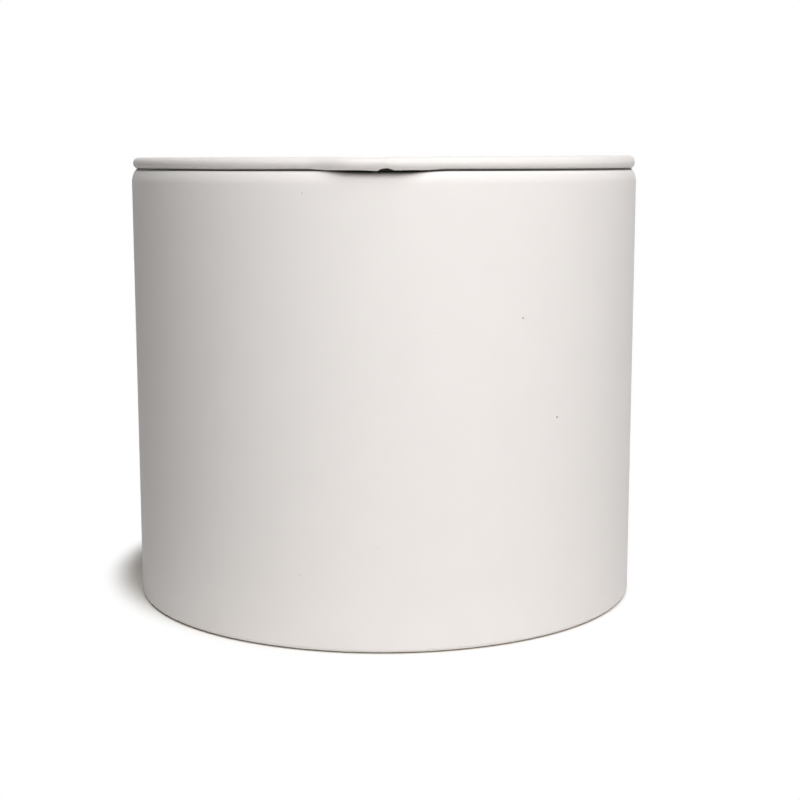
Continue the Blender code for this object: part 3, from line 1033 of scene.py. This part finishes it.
for vert in bm.verts:
    r = math.hypot(vert.co.x, vert.co.y)
    along = math.atan2(vert.co.x, -vert.co.y) * bead_r
    if abs(along) > CREST_FADE:
        continue
    up = vert.co.z - (bead_z - BEAD_RADIUS)
    past = along - SEAM_FOOT - SEAM_LEAN * up
    raised = SEAM_RIDGE * math.exp(-(past / SEAM_WIDTH) ** 2)
    if r > bead_r:
        hole = math.hypot(along - PINHOLE_ALONG, up - PINHOLE_UP) / PINHOLE_RADIUS
        raised -= PINHOLE_DEPTH * math.exp(-hole ** 2)
    out = Vector((r - bead_r, 0, vert.co.z - bead_z)).normalized() * raised
    level = (vert.co.z - bead_z) / BEAD_RADIUS
    fading = (1 + level) / 2 * ease(-past / CREST_FADE) + (1 - level) / 2 * ease(-past / FOOT_FADE)
    left_end = ease(0.5 - past / SEAM_WIDTH) * (1 - fading)
    facing = max(r - bead_r, 0) / BEAD_RADIUS
    out.x += SEAM_ROLL * left_end * facing * (vert.co.z - bead_z)
    scale = (r + out.x) / r
    new_z = vert.co.z + out.z - SEAM_STEP * left_end
    vert.co = Vector((vert.co.x * scale, vert.co.y * scale, new_z))

push_lip(bm, thicken=True, lift=True)
for face in bm.faces:
    face.material_index = int(face in painted_shade_faces)
rolled_bead = piece_from(bm, "rolled_bead", lid_coat)
as_sheet(rolled_bead, STRIP, STRIP_EASED, even=False)
# The second material is painted shade: near black on the marked underside faces and on the strip's
# inner side.
rolled_bead.data.materials.append(painted_shade_steel)
rolled_bead.modifiers["sheet"].material_offset = 1
fit_piece(rolled_bead, "lid", "white_coat", "lid_rim")

# %% [markdown]
# ## Crumbs of coat at the notch
#
# Powder gathers at a cut edge and bakes into small crumbs. They sit along the foot of the
# bead on both sides of the notch, and four more are placed above it. Each is a small
# ball, dented by noise and sunk a little more than half into the bead. A seeded random
# generator gives the same crumbs every time.

# %% Crumbs
CRUMB_RANGES = [(-3.9, -1.0, 30), (2.7, 4.7, 22)]
CRUMB_SIZES = (0.07, 0.16)
CRUMB_SUNK = 0.3
CRUMB_ANGLES = (6, 38)
CRUMBS_ABOVE = [(1.10, 82, 0.17), (0.85, 56, 0.12), (0.10, 58, 0.08), (1.70, 52, 0.08)]
CRUMB_SEED = 7
CRUMB_DENT = 0.35

draw = random.Random(CRUMB_SEED)
spots = list(CRUMBS_ABOVE)
for low, high, count in CRUMB_RANGES:
    for number in range(count):
        spots.append((draw.uniform(low, high), draw.uniform(*CRUMB_ANGLES),
                      draw.uniform(*CRUMB_SIZES)))
crumbs = bmesh.new()
for along, degrees, size in spots:
    up = math.radians(degrees) - math.pi / 2
    azimuth = along * MM / bead_r - math.pi / 2
    reach = BEAD_RADIUS - CRUMB_SUNK * size * MM
    r = bead_r + reach * math.cos(up)
    centre = Vector((r * math.cos(azimuth), r * math.sin(azimuth),
                     bead_z + reach * math.sin(up)))
    made = bmesh.ops.create_icosphere(crumbs, subdivisions=2, radius=size * MM,
                                      matrix=Matrix.Translation(centre))
    for vert in made["verts"]:
        dent = 1 + CRUMB_DENT * noise.noise(vert.co / (size * MM))
        vert.co = centre + (vert.co - centre) * dent
push_lip(crumbs, thicken=True)
coat_crumbs = piece_from(crumbs, "coat_crumbs", lid_coat)
fit_piece(coat_crumbs, "lid", "white_coat")

# %% [markdown]
# ## The wire in the bead
#
# The wire keeps the bead round and stiff. It shows only through the notch from below. Its
# section is a point spun once round, and it follows the same path as the bead.

# %% Wire
WIRE_STEPS = 16
WIRE_GAP = 0.3 * MM

wire_radius = BEAD_RADIUS - STRIP - WIRE_GAP
bm = rim_ring((bead_r + wire_radius, 0, bead_z), math.tau, WIRE_STEPS)
push_lip(bm)
bead_wire = piece_from(bm, "bead_wire", wire_steel)
fit_piece(bead_wire, "lid", "wire_steel", "rim_wire")

# %% [markdown]
# ## The lid's disc
#
# The disc has a raised middle and a flat channel round it, and its edge sits in the bead.
# Where the bead swings out into the lip, the edge of the disc goes with it. It is turned in
# the same stretches as the bead, in fewer steps.

# %% Lid disc
GUTTER = 6.0 * MM
PANEL_SLOPE = 1.0 * MM
PANEL_RISE = 0.5 * MM
PANEL_BEND = 1.6 * MM
FADE_WIDTH = 3.0 * MM
DISC_FACE = 4 * MM
DISC_STEPS = (24, 12, 24, 200)

panel_r = panel_high.x
gutter_r = panel_r - GUTTER
section = bent_line([(0, panel_high.z, 0), (gutter_r - PANEL_SLOPE, panel_high.z, PANEL_BEND),
                     (gutter_r, panel_high.z - PANEL_RISE, PANEL_BEND),
                     (panel_r, panel_high.z - PANEL_RISE, 0)])
divide_long(section, DISC_FACE)
bmesh.ops.rotate(section, verts=section.verts, cent=(0, 0, 0), matrix=to_lip)
turn_round(section, [(angle, few) for (angle, many), few in zip(rim_stretches, DISC_STEPS)])
face_towards(section, (0, 0, 2 * panel_high.z))
push_lip(section, fade_from=panel_r - FADE_WIDTH)
lid_disc = piece_from(section, "lid_disc", lid_coat)
as_sheet(lid_disc, SHEET, EASED)
fit_piece(lid_disc, "lid", "white_coat", "lid_panel")

# %% [markdown]
# ## The plug
#
# The ring under the lid goes into the mouth and keeps the lid central. It is rolled like the
# rest: a wall with a groove for the soft ring, and a flange that is spot-welded under the
# disc. The flange runs out beside the bead and down to the curl. The lid rests on it, which
# keeps the bead off the shoulder by the width of the thin dark line between them.
#
# This time the drawn line is the inner side of the sheet. A bend that the sheet lies inside
# has to be wider than the sheet is thick.

# %% Plug ring
PLUG_CLEARANCE = 0.4 * MM
GROOVE_DEPTH = 2.0 * MM
OUTER_BEND = 1.0 * MM
INNER_BEND = 0.4 * MM
SEAT_BEND = 0.9 * MM

plug_r = liner_r - PLUG_CLEARANCE
inside_r = plug_r - SHEET
groove_r = plug_r - GROOVE_DEPTH
groove_top = seal_high.z + TOUCH_GAP
groove_foot = seal_low.z - TOUCH_GAP
seat_reach = SHOULDER_RADIUS + TOUCH_GAP
seat_z = shoulder_z + math.sqrt(seat_reach ** 2 - (shoulder_r - plug_high.x) ** 2)
corners = [(inside_r, plug_low.z, 0),
           (inside_r, groove_foot - SHEET, INNER_BEND),
           (groove_r - SHEET, groove_foot - SHEET, OUTER_BEND),
           (groove_r - SHEET, groove_top + SHEET, OUTER_BEND),
           (inside_r, groove_top + SHEET, INNER_BEND),
           (inside_r, plug_high.z, OUTER_BEND),
           (plug_high.x, plug_high.z, SEAT_BEND),
           (plug_high.x, seat_z, 0)]
# Its near-black finish is painted shade for the gap under the bead.
plug_ring = sheet_from(corners, SHORT_FACE, (0, 0, plug_low.z), "plug_ring", black_coat)
fit_piece(plug_ring, "lid", "black_coat", "plug_collar")

# %% [markdown]
# From the edge of the flange a thin black band reaches out under the bead, almost to the
# outside. On the real lid it could be the rim of the flange, or a washer that the lid sits
# on. It is painted shade: a dark sheet that fills the gap between the bead and the shoulder,
# so that the gap shows as a dark line and no light shows through at the sides. Its upper
# side gives way where the bead swells at the lip and where it sags.

# %% Band of painted shade
BAND_R = 64.0 * MM
BAND_TUCK = 0.4 * MM
BAND_AIR = 0.03 * MM
BAND_BEND = 0.06 * MM

band_top = bead_z - BEAD_RADIUS - BAND_AIR
band_foot = crest_z + BAND_AIR
corners = [(plug_high.x - BAND_TUCK, band_foot), (BAND_R, band_foot), (BAND_R, band_top),
           (plug_high.x - BAND_TUCK, band_top)]
section = bent_line([(r, z, BAND_BEND) for r, z in corners], closed=True)
turn_round(section)
face_towards(section, (2 * BAND_R, 0, band_foot))
for vert in section.verts:
    if vert.co.z > (band_top + band_foot) / 2:
        azimuth = math.atan2(vert.co.x, -vert.co.y)
        vert.co.z -= 2 * LIP_THICKEN * lip_share(azimuth, SWELL_FLAT_ANGLE) + foot_sag(azimuth)
painted_shade_band = piece_from(section, "painted_shade_band", black_coat)
fit_piece(painted_shade_band, "lid", "black_coat")

# %% [markdown]
# The spot welds show as shallow round bumps in the near-black painted-shade finish on the
# flange, seen from below.

# %% Spot welds
WELDS = 16
WELD_RADIUS = 0.6 * MM
WELD_FLAT_SHARE = 0.15
BALL_STEPS = 24

bm = bmesh.new()
weld_r = (plug_r + plug_high.x - SHEET) / 2
for number in range(WELDS):
    angle = math.tau * (number + 0.5) / WELDS
    centre = (weld_r * math.cos(angle), weld_r * math.sin(angle), plug_high.z - SHEET)
    shape = Matrix.Translation(centre) @ Matrix.Diagonal((1, 1, WELD_FLAT_SHARE, 1))
    bmesh.ops.create_uvsphere(bm, u_segments=BALL_STEPS, v_segments=BALL_STEPS // 2,
                              radius=WELD_RADIUS, matrix=shape)
spot_welds = piece_from(bm, "spot_welds", black_coat)
fit_piece(spot_welds, "lid", "black_coat")

# %% [markdown]
# ## The soft ring
#
# A soft ring lies in the groove of the plug and grips the mouth. Its outer face has three low
# ribs, so that it slides in easily and still seals. A closed section makes a solid ring.

# %% Soft ring
RIBS = 3
RIB_HEIGHT = 0.22 * MM
RING_BEND = 0.25 * MM
VALLEY_BEND = 0.05 * MM

pitch = (seal_high.z - seal_low.z) / RIBS
inner_r = groove_r + TOUCH_GAP
corners = [(inner_r, seal_low.z, RING_BEND)]
for number in range(RIBS):
    low = seal_low.z + number * pitch
    corners.append((seal_high.x - RIB_HEIGHT, low, VALLEY_BEND))
    corners.append((seal_high.x, low + pitch / 2, RING_BEND))
corners.append((seal_high.x - RIB_HEIGHT, seal_high.z, VALLEY_BEND))
corners.append((inner_r, seal_high.z, RING_BEND))
section = bent_line(corners, closed=True)
turn_round(section)
face_towards(section, (2 * seal_high.x, 0, seal_low.z))
grip_ring = piece_from(section, "grip_ring", soft_ring)
fit_piece(grip_ring, "seal", "seal_rubber", "seal_ring")
